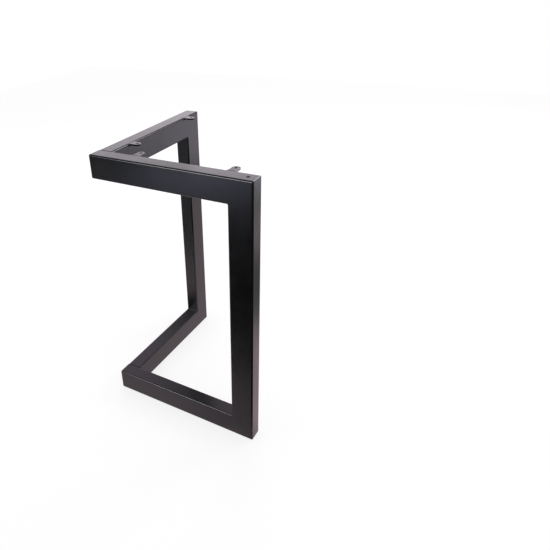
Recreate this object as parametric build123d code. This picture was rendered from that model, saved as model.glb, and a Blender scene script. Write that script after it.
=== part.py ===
from build123d import *
import os

# L-shaped welded steel leg for a bench, table or desk top, in millimetres.
#
# Two upright frames of rectangular tube meet at a right angle in plan. The top and the base are each an L:
# a front rail that runs through to the outer corner, and a side rail that butts against its inner face.
# An upright joins top and base at the free end of each arm, with mitred joints, and there is none at the
# corner. Four small tabs on the inner faces of the top rails take the screws that hold the top.
#
# +Z is up. The origin is on the floor, under the middle of the square that the leg fills in plan. The outer
# corner of the L is at minus X and minus Y: the front frame runs from it along +X, the side frame along +Y.

# Overall sizes
LEG_HEIGHT = 720.0  # floor to the face that carries the top
FRONT_ARM = 430.0  # outer corner to the free end, along X
SIDE_ARM = 430.0  # outer corner to the free end, along Y

# Rectangular steel tube, with its wide side in the plane of each frame
TUBE_WIDTH = 60.0
TUBE_DEPTH = 40.0
TUBE_WALL = 2.0
TUBE_RADIUS = 4.0  # outside corners of the section
TIGHTEST_RADIUS = 0.5  # least radius of the inside corners, where the wall is thick

# Plate that closes the corner end of each front rail
CAP_THICKNESS = 2.0

# Welds
GROUND_EDGE = 1.5  # rounding of the outer corners whose welds are ground back
MITRE_WELD = 1.5  # leg of the bead in the inner corners of the frames
CORNER_WELD = 2.0  # leg of the upright bead inside the L
SEAM_DEPTH = 1.6  # how far the weld of the butt joint lies below the top and bottom faces
OUTER_SEAM_DEPTH = 0.4  # and how far below the outer face, where it is ground back
TAB_WELD = 3.0  # leg of the bead round the root of a tab
TAB_WELD_DEPTH = 0.4  # how far that bead lies below the top of the tab
TAB_WELD_ROOT = 3.0  # how far down the groove behind the tab it reaches

# Fixing tabs: flat plates with a round end and one hole, flush with the top of the leg
TAB_WIDTH = 20.0
TAB_THICKNESS = 4.0
TAB_EDGE = 0.4  # bevel round the outline and the hole
TAB_HOLE = 6.0
TAB_HOLE_REACH = 18.0  # from the tube's inner face to the hole
FRONT_TAB_FROM_END = 69.0  # from the free end of the front arm to its outer tab
SIDE_TAB_FROM_END = 65.0  # from the free end of the side arm to its outer tab
TAB_SPACING = 250.0  # between the two tabs of one arm

# Vent hole through the top wall of the front rail
VENT_HOLE = 8.0
VENT_FROM_END = 21.0

PAST = 1.0  # how far a cutting tool runs past the faces that it cuts


def tube_outline(across, up):
    """The tube's outside in section, centred."""
    return RectangleRounded(across, up, TUBE_RADIUS)


def tube_section(across, up):
    """The tube's wall in section, centred. Its inside corners are one wall tighter."""
    inside_radius = max(TUBE_RADIUS - TUBE_WALL, TIGHTEST_RADIUS)
    bore = RectangleRounded(across - 2 * TUBE_WALL, up - 2 * TUBE_WALL, inside_radius)
    return tube_outline(across, up) - bore


def rail_run(section, start, end):
    """A section swept along +X at the height of the top rail."""
    middle = Pos(TUBE_DEPTH / 2, LEG_HEIGHT - TUBE_WIDTH / 2)
    return extrude(Plane.YZ.offset(start) * middle * section, end - start)


def upright_run(section, arm):
    """A section swept along +Z at the free end of an arm."""
    middle = Pos(arm - TUBE_WIDTH / 2, TUBE_DEPTH / 2)
    return extrude(Plane.XY * middle * section, LEG_HEIGHT)


def across_frame(outline):
    """A solid with an outline in X and Z that passes through the whole depth of the frame."""
    return extrude(Plane.XZ * outline, TUBE_DEPTH + PAST, both=True)


def rounded_frame(arm):
    """The frame's full outline, rounded at the free end where the mitre welds are ground back."""
    sheet = Pos(-PAST, 0) * Rectangle(arm + PAST, LEG_HEIGHT, align=Align.MIN)
    return across_frame(fillet(sheet.vertices().group_by(Axis.X)[-1], GROUND_EDGE))


def rail_share(arm):
    """The part of a frame that belongs to its top rail, up to the mitre."""
    bottom = LEG_HEIGHT - TUBE_WIDTH
    return across_frame(
        Polygon(
            (-PAST, LEG_HEIGHT),
            (-PAST, bottom),
            (arm - TUBE_WIDTH, bottom),
            (arm, LEG_HEIGHT),
            align=None,
        )
    )


def upright_share(arm):
    """The part of a frame that belongs to its upright, between the two mitres."""
    inner = arm - TUBE_WIDTH
    return across_frame(
        Polygon(
            (arm, 0),
            (arm, LEG_HEIGHT),
            (inner, LEG_HEIGHT - TUBE_WIDTH),
            (inner, TUBE_WIDTH),
            align=None,
        )
    )


def top_rail(arm, start):
    """A horizontal tube from start to its mitre at the free end."""
    tube = rail_run(tube_section(TUBE_DEPTH, TUBE_WIDTH), start, arm)
    return tube & rail_share(arm) & rounded_frame(arm)


def upright(arm):
    """The vertical tube at the free end, mitred to both rails."""
    tube = upright_run(tube_section(TUBE_WIDTH, TUBE_DEPTH), arm)
    return tube & upright_share(arm) & rounded_frame(arm)


def vent(front_rail):
    """The top front rail with a hole through its top wall, which lets the coating line's hot air out."""
    drill = Cylinder(VENT_HOLE / 2, 2 * (TUBE_WALL + PAST))
    return front_rail - Pos(FRONT_ARM - VENT_FROM_END, TUBE_DEPTH / 2, LEG_HEIGHT) * drill


def end_cap():
    """The plate that closes the top front rail at the outer corner, ground round to meet the tube."""
    plate = rail_run(tube_outline(TUBE_DEPTH, TUBE_WIDTH), 0, CAP_THICKNESS)
    edge = min(GROUND_EDGE, CAP_THICKNESS - OUTER_SEAM_DEPTH)
    return fillet(plate.faces().sort_by(Axis.X)[0].edges(), edge)


def mitre_weld(arm):
    """The bead in a frame's upper inner corner: a slope with the same rounded edges as the tubes."""
    inner = arm - TUBE_WIDTH
    bottom = LEG_HEIGHT - TUBE_WIDTH
    start = (inner - MITRE_WELD, TUBE_DEPTH / 2, bottom)
    slope = Plane(start, x_dir=(0, 1, 0), z_dir=(1, 0, -1))
    bar = Pos(0, TUBE_DEPTH / 2) * tube_outline(TUBE_DEPTH, TUBE_DEPTH)
    rail = rail_run(tube_outline(TUBE_DEPTH, TUBE_WIDTH), 0, arm)
    post = upright_run(tube_outline(TUBE_WIDTH, TUBE_DEPTH), arm)
    return extrude(slope * bar, TUBE_DEPTH / 2, both=True) - rail - post


def corner_seam():
    """The weld of the butt joint, at the bottom of the groove beside the front rail's rounded edges."""
    section = RectangleRounded(
        TUBE_DEPTH - 2 * OUTER_SEAM_DEPTH,
        TUBE_WIDTH - 2 * SEAM_DEPTH,
        TUBE_RADIUS - SEAM_DEPTH,
    )
    middle = Pos(TUBE_DEPTH / 2, LEG_HEIGHT - TUBE_WIDTH / 2)
    seam = extrude(Plane.XZ.offset(-TUBE_DEPTH) * middle * section, TUBE_RADIUS)
    front_rail = rail_run(tube_outline(TUBE_DEPTH, TUBE_WIDTH), CAP_THICKNESS, FRONT_ARM)
    return seam - front_rail - end_cap()


def corner_bead():
    """The upright bead in the corner inside the L, as long as the flat of the tube."""
    section = Polygon((0, 0), (CORNER_WELD, 0), (0, CORNER_WELD), align=None)
    flat = TUBE_WIDTH - 2 * TUBE_RADIUS
    bottom = LEG_HEIGHT - TUBE_WIDTH + TUBE_RADIUS
    return extrude(Plane.XY.offset(bottom) * Pos(TUBE_DEPTH, TUBE_DEPTH) * section, flat)


def tab():
    """A fixing tab that points along +Y from a face at Y = 0, with its top at Z = 0."""
    outline = Rectangle(TAB_WIDTH, TAB_HOLE_REACH, align=(Align.CENTER, Align.MIN))
    outline += Pos(0, TAB_HOLE_REACH) * Circle(TAB_WIDTH / 2)
    outline -= Pos(0, TAB_HOLE_REACH) * Circle(TAB_HOLE / 2)
    plate = extrude(outline, -TAB_THICKNESS)
    flats = plate.faces().sort_by(Axis.Z)
    rims = ShapeList(flats[0].edges() + flats[-1].edges())
    return chamfer(rims.filter_by(lambda rim: rim.center().Y > 0), TAB_EDGE)


def tab_weld():
    """The bead round a tab's root, which also fills the groove over the rail's rounded edge."""
    wide = TAB_WIDTH + 2 * TAB_WELD
    hanging = (Align.CENTER, Align.MAX)
    sunk = Pos(0, -TAB_WELD_DEPTH)
    on_wall = sunk * Rectangle(wide, TAB_THICKNESS + TAB_WELD - TAB_WELD_DEPTH, align=hanging)
    on_tab = sunk * Rectangle(TAB_WIDTH, TAB_THICKNESS - TAB_WELD_DEPTH, align=hanging)
    in_groove = sunk * Rectangle(wide, TAB_WELD_ROOT - TAB_WELD_DEPTH, align=hanging)
    bead = loft([Plane.XZ * on_wall, Plane.XZ.offset(-TAB_WELD) * on_tab])
    return bead + extrude(Plane.XZ * in_groove, TUBE_RADIUS) - tab()


def on_rail(part, arm, from_end):
    """A part placed on the top rail's inner face, at its distance from the free end, cut to the rail."""
    rail = rail_run(tube_outline(TUBE_DEPTH, TUBE_WIDTH), 0, arm)
    return Pos(arm - from_end, TUBE_DEPTH, LEG_HEIGHT) * part - rail


def at_base(part):
    """A part of the top, turned over to the base."""
    return mirror(part, about=Plane.XY.offset(LEG_HEIGHT / 2))


def on_side(part):
    """A part of the front frame with X and Y exchanged, for the side frame."""
    return mirror(part, about=Plane((0, 0, 0), z_dir=(1, -1, 0)))


def front_frame():
    """The frame along X, whose rails run through to the outer corner and are closed there."""
    rail = top_rail(FRONT_ARM, CAP_THICKNESS)
    return {
        "top_front_rail": vent(rail),
        "base_front_rail": at_base(rail),
        "front_upright": upright(FRONT_ARM),
        "top_end_cap": end_cap(),
        "base_end_cap": at_base(end_cap()),
        "front_top_mitre_weld": mitre_weld(FRONT_ARM),
        "front_base_mitre_weld": at_base(mitre_weld(FRONT_ARM)),
    }


def side_frame():
    """The frame along Y, whose rails start at the inner face of the front ones."""
    rail = top_rail(SIDE_ARM, TUBE_DEPTH)
    return {
        "top_side_rail": on_side(rail),
        "base_side_rail": on_side(at_base(rail)),
        "side_upright": on_side(upright(SIDE_ARM)),
        "side_top_mitre_weld": on_side(mitre_weld(SIDE_ARM)),
        "side_base_mitre_weld": on_side(at_base(mitre_weld(SIDE_ARM))),
    }


def corner_welds():
    """The welds of the two butt joints."""
    return {
        "top_corner_seam": corner_seam(),
        "base_corner_seam": at_base(corner_seam()),
        "top_corner_bead": corner_bead(),
        "base_corner_bead": at_base(corner_bead()),
    }


def tabs():
    """The four fixing tabs, each with its weld."""
    pieces = {}
    for kind, part in (("tab", tab()), ("tab_weld", tab_weld())):
        for place, further in (("outer", 0), ("inner", TAB_SPACING)):
            on_front = on_rail(part, FRONT_ARM, FRONT_TAB_FROM_END + further)
            pieces[f"front_{place}_{kind}"] = on_front
            like_front = on_rail(part, SIDE_ARM, SIDE_TAB_FROM_END + further)
            pieces[f"side_{place}_{kind}"] = on_side(like_front)
    return pieces


os.makedirs("parts", exist_ok=True)
to_middle = Pos(-FRONT_ARM / 2, -SIDE_ARM / 2, 0)
for name, piece in {**front_frame(), **side_frame(), **corner_welds(), **tabs()}.items():
    export_step(to_middle * piece, f"parts/{name}.step")
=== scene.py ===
import math

import bpy
from mathutils import Euler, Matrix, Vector

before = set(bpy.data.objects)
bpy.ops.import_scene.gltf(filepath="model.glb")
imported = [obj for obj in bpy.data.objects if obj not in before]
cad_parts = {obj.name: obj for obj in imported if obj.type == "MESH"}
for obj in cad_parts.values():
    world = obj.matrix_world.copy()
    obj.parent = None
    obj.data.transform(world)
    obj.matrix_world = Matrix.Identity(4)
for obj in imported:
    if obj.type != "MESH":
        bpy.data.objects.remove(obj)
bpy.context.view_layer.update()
print("frame loaded with", len(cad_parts), "nodes")


# Node helpers

noiseSpan = (0.3, 0.7)  # the values that a noise mostly takes


def newMaterial(name):
    material = bpy.data.materials.new(name)
    material.use_nodes = True
    nodes = material.node_tree.nodes
    return material, nodes, material.node_tree.links, nodes["Principled BSDF"]


def noise(nodes, links, vector, scale, detail):
    texture = nodes.new("ShaderNodeTexNoise")
    texture.inputs["Scale"].default_value = scale
    texture.inputs["Detail"].default_value = detail
    links.new(vector, texture.inputs["Vector"])
    return texture.outputs["Fac"]


def spread(nodes, links, value, low, high):
    ranged = nodes.new("ShaderNodeMapRange")
    ranged.inputs["From Min"].default_value = noiseSpan[0]
    ranged.inputs["From Max"].default_value = noiseSpan[1]
    ranged.inputs["To Min"].default_value = low
    ranged.inputs["To Max"].default_value = high
    links.new(value, ranged.inputs["Value"])
    return ranged.outputs["Result"]


def bump(nodes, links, height, distance, normal=None):
    node = nodes.new("ShaderNodeBump")
    node.inputs["Strength"].default_value = 1.0
    node.inputs["Distance"].default_value = distance
    links.new(height, node.inputs["Height"])
    if normal is not None:
        links.new(normal, node.inputs["Normal"])
    return node.outputs["Normal"]


# Satin black powder coat

coat = {
    "colour": (0.0042, 0.0042, 0.0048, 1),
    "dustColour": (0.0068, 0.0068, 0.0075, 1),
    "roughness": (0.17, 0.23),
    "ior": 1.5,
    "peelScale": 620,  # cells of orange peel to the metre
    "peelDetail": 1.5,
    "peelHeight": 0.000012,
    "waveScale": 9,  # slow unevenness of the rolled tube
    "waveDetail": 1,
    "waveHeight": 0.00012,
    "cloudScale": 14,  # slow changes of colour and roughness
    "cloudDetail": 3,
}


def powderCoat(name):
    material, nodes, links, shader = newMaterial(name)
    place = nodes.new("ShaderNodeTexCoord").outputs["Object"]
    clouds = noise(nodes, links, place, coat["cloudScale"], coat["cloudDetail"])
    mix = nodes.new("ShaderNodeMix")
    mix.data_type = "RGBA"
    mix.inputs["A"].default_value = coat["colour"]
    mix.inputs["B"].default_value = coat["dustColour"]
    links.new(spread(nodes, links, clouds, 0, 1), mix.inputs["Factor"])
    links.new(mix.outputs["Result"], shader.inputs["Base Color"])
    links.new(spread(nodes, links, clouds, *coat["roughness"]), shader.inputs["Roughness"])
    shader.inputs["IOR"].default_value = coat["ior"]
    waves = noise(nodes, links, place, coat["waveScale"], coat["waveDetail"])
    wavy = bump(nodes, links, waves, coat["waveHeight"])
    peel = noise(nodes, links, place, coat["peelScale"], coat["peelDetail"])
    skin = bump(nodes, links, peel, coat["peelHeight"], wavy)
    links.new(skin, shader.inputs["Normal"])
    return material, nodes, links, shader, place, skin


# Weld beads under the same coat

weld = {
    "rippleScale": 290,  # lumps to the metre
    "rippleHeight": 0.0006,
    "spatterScale": 1100,
    "spatterHeight": 0.00012,
    "detail": 1,
}


def weldCoat():
    material, nodes, links, shader, place, skin = powderCoat("weldCoat")
    lumps = noise(nodes, links, place, weld["rippleScale"], weld["detail"])
    rippled = bump(nodes, links, lumps, weld["rippleHeight"], skin)
    spatter = noise(nodes, links, place, weld["spatterScale"], weld["detail"])
    spattered = bump(nodes, links, spatter, weld["spatterHeight"], rippled)
    links.new(spattered, shader.inputs["Normal"])
    return material


coatMaterial = powderCoat("powderCoat")[0]
weldMaterial = weldCoat()
for name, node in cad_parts.items():
    for slot in node.material_slots:
        slot.material = weldMaterial if name.endswith(("_weld", "_bead")) else coatMaterial
print("coat on", len(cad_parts), "nodes")


# Studio

studio = {
    "floorReach": 8.0,
    "floorColour": (0.8, 0.78, 0.79, 1),
    "seenColour": (0.4, 0.39, 0.395, 1),  # the floor as the camera sees it, with fainter shadows
    "floorGlow": 0.765,  # added for the camera alone, so that the floor reads as white
    "ambient": 0.55,
    "horizon": 0.9,  # what gloss finds low down
    "ceiling": 0.15,  # and overhead
    "horizonTop": 0.37,  # sine of the elevation at which the horizon's level ends
    "ceilingEdge": 0.5,  # and at which the ceiling's begins
    "sheetGap": 0.0005,  # from each floor sheet to the one above it
}

# Places and sizes in metres, power in watts
lamps = {
    "backBox": {
        "at": (-1.5, 2.4, 1.1),
        "aim": (-0.1, 0.0, 0.85),
        "size": (3.2, 1.4),
        "power": 10.4,
        "tint": (1.0, 0.84, 1.02),
    },
    "sideBox": {
        "at": (-0.75, 2.4, 1.95),
        "aim": (-0.1, 0.0, 0.8),
        "size": (1.6, 0.75),
        "power": 2.4,
        "tint": (1.0, 0.85, 1.0),
    },
    "overBox": {
        "at": (-0.85, 2.3, 3.0),
        "aim": (0.0, 0.0, 0.0),
        "size": (1.3, 1.2),
        "power": 4.0,
        "tint": (1.0, 0.88, 1.0),
    },
    "frontBox": {
        "at": (-1.25, -2.6, 1.85),
        "aim": (0.0, 0.0, 0.7),
        "size": (1.4, 1.2),
        "power": 51,
        "tint": (0.95, 0.96, 1.0),
        "glossOnly": True,
    },
    "edgeBox": {
        "at": (1.5, 2.4, 2.0),
        "aim": (0.2, -0.2, 0.72),
        "size": (1.2, 0.8),
        "power": 9,
        "tint": (1.0, 0.98, 1.0),
    },
    "endBox": {
        "at": (0.278, 0.402, 1.05),
        "aim": (0.215, -0.195, 0.72),
        "size": (0.4, 0.18),
        "power": 2.0,
        "tint": (1.0, 0.98, 1.0),
        "glossOnly": True,
    },
}

# Soft-edged glowing sheets that only gloss finds. They are no lamps; they paint light and shade into the
# reflections: painted reflections of the floor, the lowest first, then a painted highlight card and a dark
# card. They are set for the reflections in the camera's own view. Each is an ellipse: reach is its two half
# widths in metres, and soft the share of them over which its edge fades. Turn and tilt are degrees.
paintedReflectionSheets = {
    # painted reflection: a dim floor far in front
    "outerFloor": {
        "at": (0.0, -2.6),
        "reach": (4.0, 1.6),
        "soft": 0.3,
        "level": 0.2,
        "tint": (0.9, 0.93, 1.1),
    },
    # painted reflection: a brighter floor behind to the right
    "backFloor": {
        "at": (1.4, 2.3),
        "reach": (1.4, 1.2),
        "soft": 0.4,
        "level": 1.45,
        "tint": (0.97, 0.9, 1.04),
    },
    # painted reflection: the floor near the leg, a little shaded
    "nearFloor": {
        "at": (0.1, 0.45),
        "reach": (1.2, 0.95),
        "soft": 0.25,
        "level": 0.82,
        "tint": (1.0, 0.84, 0.92),
    },
    # painted shadow: the leg's own shadow on the floor in front, as the coat reflects it
    "paintedShadowFront": {
        "at": (0.25, -0.34),
        "reach": (0.4, 0.3),
        "soft": 0.85,
        "level": 0.5,
        "tint": (1.0, 0.84, 0.92),
    },
    # painted reflection: a darker patch of floor to the front left
    "dimLeft": {
        "at": (-0.74, -0.64),
        "reach": (0.42, 0.38),
        "soft": 0.8,
        "level": 0.3,
        "tint": (0.95, 0.95, 1.05),
    },
    # painted shadow: the leg's own shadow on the floor beside the base rail, as the coat reflects it
    "paintedShadowSide": {
        "at": (-0.27, 0.08),
        "reach": (0.09, 0.18),
        "soft": 0.9,
        "level": 0.05,
        "tint": (1.0, 0.9, 1.0),
    },
    # painted reflection: a dark zone of floor in front of the leg
    "darkFront": {
        "at": (0.45, -1.15),
        "reach": (1.12, 0.9),
        "soft": 0.35,
        "level": 0.02,
        "tint": (1.0, 1.0, 1.0),
    },
    # painted reflection: a dark zone of floor to the right
    "darkRight": {
        "at": (1.33, -0.24),
        "reach": (2.2, 0.97),
        "turn": 54,
        "soft": 0.1,
        "level": 0.03,
        "tint": (1.0, 1.0, 1.0),
    },
    # painted reflection: a brighter bluish floor far in front to the left
    "blueFront": {
        "at": (-0.92, -1.98),
        "reach": (0.68, 0.65),
        "soft": 0.8,
        "level": 1.65,
        "tint": (0.86, 0.9, 1.15),
    },
    # painted shade: the darker reflection where the other leg of the pair stands
    "paintedShadeRight": {
        "at": (0.55, 0.5),
        "reach": (0.28, 0.4),
        "soft": 0.6,
        "level": 0.3,
        "tint": (0.97, 0.95, 1.0),
    },
    # painted highlight: a bright pinkish glow beside the leg, seen only in reflection
    "glowRight": {
        "at": (0.26, 0.02),
        "reach": (0.3, 0.11),
        "turn": 64,
        "soft": 0.35,
        "level": 1.05,
        "tint": (1.0, 0.78, 0.86),
    },
    # painted highlight: a bright card seen only in reflection, which lights up the tops of the base rails
    "paintedHighlightCard": {
        "at": (-0.58, 0.15),
        "height": 0.46,
        "reach": (0.48, 0.48),
        "tilt": 128,
        "turn": 41,
        "soft": 0.87,
        "level": 0.95,
        "tint": (1.0, 0.88, 1.04),
    },
    # painted reflection: a dark card that darkens the reflections behind to the left
    "darkCard": {
        "at": (-0.48, 0.57),
        "height": 0.4,
        "reach": (0.3, 0.22),
        "tilt": 90,
        "turn": 35,
        "soft": 0.8,
        "level": 0.05,
        "tint": (1.0, 1.0, 1.0),
    },
}


def makeFloor():
    bpy.ops.mesh.primitive_plane_add(size=studio["floorReach"])
    floor = bpy.context.object
    floor.name = "floor"
    material, nodes, links, shader = newMaterial("whiteFloor")
    shader.inputs["Base Color"].default_value = studio["floorColour"]
    shader.inputs["Roughness"].default_value = 1.0
    shader.inputs["Specular IOR Level"].default_value = 0.0
    glow = nodes.new("ShaderNodeEmission")
    glow.inputs["Strength"].default_value = studio["floorGlow"]
    seen = nodes.new("ShaderNodeBsdfDiffuse")
    seen.inputs["Color"].default_value = studio["seenColour"]
    both = nodes.new("ShaderNodeAddShader")
    links.new(seen.outputs["BSDF"], both.inputs[0])
    links.new(glow.outputs["Emission"], both.inputs[1])
    choose = nodes.new("ShaderNodeMixShader")
    links.new(nodes.new("ShaderNodeLightPath").outputs["Is Camera Ray"], choose.inputs["Fac"])
    links.new(shader.outputs["BSDF"], choose.inputs[1])
    links.new(both.outputs["Shader"], choose.inputs[2])
    links.new(choose.outputs["Shader"], nodes["Material Output"].inputs["Surface"])
    floor.data.materials.append(material)


def makePaintedReflection(name, paintedSheet, height):
    # 2 m wide before it is scaled, so that its own coordinates run from -1 to 1
    bpy.ops.mesh.primitive_plane_add(size=2, location=(*paintedSheet["at"], paintedSheet.get("height", height)))
    sheet = bpy.context.object
    sheet.name = name
    sheet.scale = (*paintedSheet["reach"], 1)
    sheet.rotation_euler = (math.radians(paintedSheet.get("tilt", 0)), 0, math.radians(paintedSheet.get("turn", 0)))
    material, nodes, links, shader = newMaterial(name)
    distance = nodes.new("ShaderNodeVectorMath")
    distance.operation = "LENGTH"
    links.new(nodes.new("ShaderNodeTexCoord").outputs["Object"], distance.inputs[0])
    cover = nodes.new("ShaderNodeMapRange")
    cover.interpolation_type = "SMOOTHSTEP"
    cover.inputs["From Min"].default_value = 1 - paintedSheet["soft"]
    cover.inputs["To Min"].default_value = 1.0
    cover.inputs["To Max"].default_value = 0.0
    links.new(distance.outputs["Value"], cover.inputs["Value"])
    # the sheet's glow, which paints light or shade into the reflections
    light = nodes.new("ShaderNodeEmission")
    light.inputs["Color"].default_value = (*paintedSheet["tint"], 1)
    light.inputs["Strength"].default_value = paintedSheet["level"]
    choose = nodes.new("ShaderNodeMixShader")
    links.new(cover.outputs["Result"], choose.inputs["Fac"])
    links.new(nodes.new("ShaderNodeBsdfTransparent").outputs["BSDF"], choose.inputs[1])
    links.new(light.outputs["Emission"], choose.inputs[2])
    links.new(choose.outputs["Shader"], nodes["Material Output"].inputs["Surface"])
    nodes.remove(shader)
    sheet.data.materials.append(material)
    for ray in ("camera", "diffuse", "transmission", "volume_scatter", "shadow"):
        setattr(sheet, "visible_" + ray, False)


def makeWorld():
    world = bpy.data.worlds.new("studioAir")
    bpy.context.scene.world = world
    world.use_nodes = True
    nodes, links = world.node_tree.nodes, world.node_tree.links
    background = nodes["Background"]
    background.inputs["Color"].default_value = (1, 1, 1, 1)
    path = nodes.new("ShaderNodeLightPath")
    direction = nodes.new("ShaderNodeSeparateXYZ")
    links.new(nodes.new("ShaderNodeTexCoord").outputs["Generated"], direction.inputs["Vector"])
    gloss = nodes.new("ShaderNodeMapRange")
    gloss.inputs["From Min"].default_value = studio["horizonTop"]
    gloss.inputs["From Max"].default_value = studio["ceilingEdge"]
    gloss.inputs["To Min"].default_value = studio["horizon"]
    gloss.inputs["To Max"].default_value = studio["ceiling"]
    links.new(direction.outputs["Z"], gloss.inputs["Value"])
    plain = nodes.new("ShaderNodeMix")
    plain.inputs["A"].default_value = studio["ambient"]
    links.new(path.outputs["Is Glossy Ray"], plain.inputs["Factor"])
    links.new(gloss.outputs["Result"], plain.inputs["B"])
    seen = nodes.new("ShaderNodeMix")
    seen.inputs["B"].default_value = 1.0
    links.new(path.outputs["Is Camera Ray"], seen.inputs["Factor"])
    links.new(plain.outputs["Result"], seen.inputs["A"])
    links.new(seen.outputs["Result"], background.inputs["Strength"])


def makeLamp(name, made):
    data = bpy.data.lights.new(name, "AREA")
    data.shape = "RECTANGLE"
    data.size, data.size_y = made["size"]
    data.energy = made["power"]
    data.color = made["tint"]
    lamp = bpy.data.objects.new(name, data)
    lamp.location = made["at"]
    aim = Vector(made["aim"]) - Vector(made["at"])
    lamp.rotation_euler = aim.to_track_quat("-Z", "Y").to_euler()
    lamp.visible_camera = False
    lamp.visible_diffuse = not made.get("glossOnly", False)
    bpy.context.scene.collection.objects.link(lamp)


makeFloor()
for layer, (name, paintedSheet) in enumerate(paintedReflectionSheets.items(), start=1):
    makePaintedReflection(name, paintedSheet, layer * studio["sheetGap"])
makeWorld()
for name, made in lamps.items():
    makeLamp(name, made)
print("studio set with", len(lamps), "lamps and", len(paintedReflectionSheets), "sheets")


# Camera

view = {
    "at": (0.6726, -1.1404, 1.1213),
    "turn": (59.83, 3.33, 32.52),  # degrees
    "lens": 36.03,  # mm, as is the sensor's width
    "sensor": 36,
    "shift": (0.1639, -0.0081),  # shares of the picture's width
}


def makeCamera():
    data = bpy.data.cameras.new("camera")
    data.lens = view["lens"]
    data.sensor_width = view["sensor"]
    data.shift_x, data.shift_y = view["shift"]
    camera = bpy.data.objects.new("camera", data)
    camera.location = view["at"]
    camera.rotation_euler = Euler([math.radians(angle) for angle in view["turn"]])
    bpy.context.scene.collection.objects.link(camera)
    bpy.context.scene.camera = camera


makeCamera()
bpy.context.scene.view_settings.view_transform = "Standard"
print("camera set at", view["at"])
